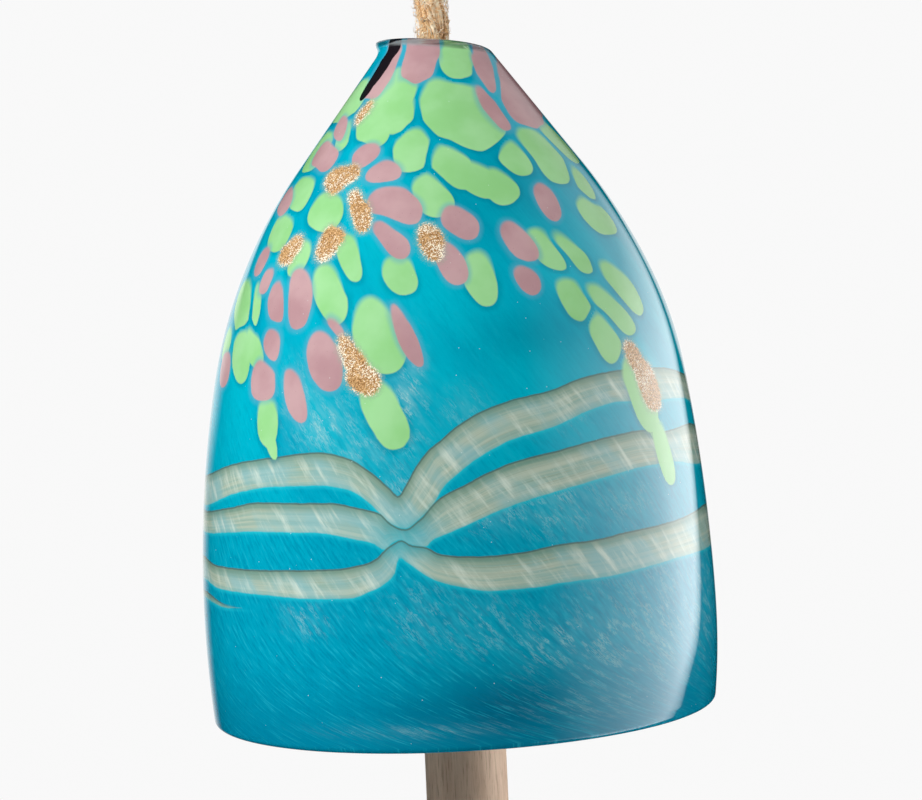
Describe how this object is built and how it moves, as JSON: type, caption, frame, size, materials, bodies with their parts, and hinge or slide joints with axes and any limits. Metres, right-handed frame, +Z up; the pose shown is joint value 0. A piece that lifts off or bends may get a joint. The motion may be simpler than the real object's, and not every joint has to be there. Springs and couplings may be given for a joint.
{
  "type": "wind bell",
  "caption": "Hanging blown-glass wind bell with a domed body, coloured frit and combed bands, rope eye above and a wooden clapper on twine inside.",
  "frame": {"origin": "inside of the top of the rope's eye, where a hook bears", "axes": "+Z up along the rope, +X across the eye to the right of the pictured side, +Y away from that side"},
  "size_m": [0.124, 0.124, 0.3383],
  "materials": {
    "rope_fibre": "natural jute rope, laid in three strands",
    "seizing_fibre": "natural twine",
    "ball_wood": "turned and waxed",
    "bell_glass": "glossy blown glass with coloured frit and trailed bands",
    "twine_fibre": "natural twine",
    "eye_steel": "bright brass-plated wire",
    "clapper_wood": "turned and oiled"
  },
  "bodies": {
    "rope": {"hanger_rope": "rope_fibre", "rope_seizing": "seizing_fibre"},
    "seat": {"seat_ball": "ball_wood", "stopper_knot": "rope_fibre"},
    "bell": {"glass_bell": "bell_glass"},
    "tie": {"clapper_tie": "twine_fibre"},
    "twine": {"clapper_twine": "twine_fibre"},
    "clapper": {"screw_eye": "eye_steel", "clapper": "clapper_wood"}
  },
  "joints": [
    {"name": "bell_swing", "type": "hinge", "parent": "rope", "child": "seat", "pos_m": [0, 0, -0.12353], "axis": [0, 1, 0], "range_deg": [-12, 12]},
    {"name": "bell_turn", "type": "hinge", "parent": "seat", "child": "bell", "pos_m": [0, 0, -0.13784], "axis": [0, 0, 1], "continuous": true},
    {"name": "clapper_turn", "type": "hinge", "parent": "seat", "child": "tie", "pos_m": [0, 0, -0.18235], "axis": [0, 0, 1], "continuous": true},
    {"name": "cord_swing", "type": "hinge", "parent": "tie", "child": "twine", "pos_m": [0, 0, -0.18235], "axis": [1, 0, 0], "range_deg": [-18, 18]},
    {"name": "clapper_rock", "type": "hinge", "parent": "twine", "child": "clapper", "pos_m": [0, 0, -0.22434], "axis": [1, 0, 0], "range_deg": [-10.5, 10.5]}
  ]
}
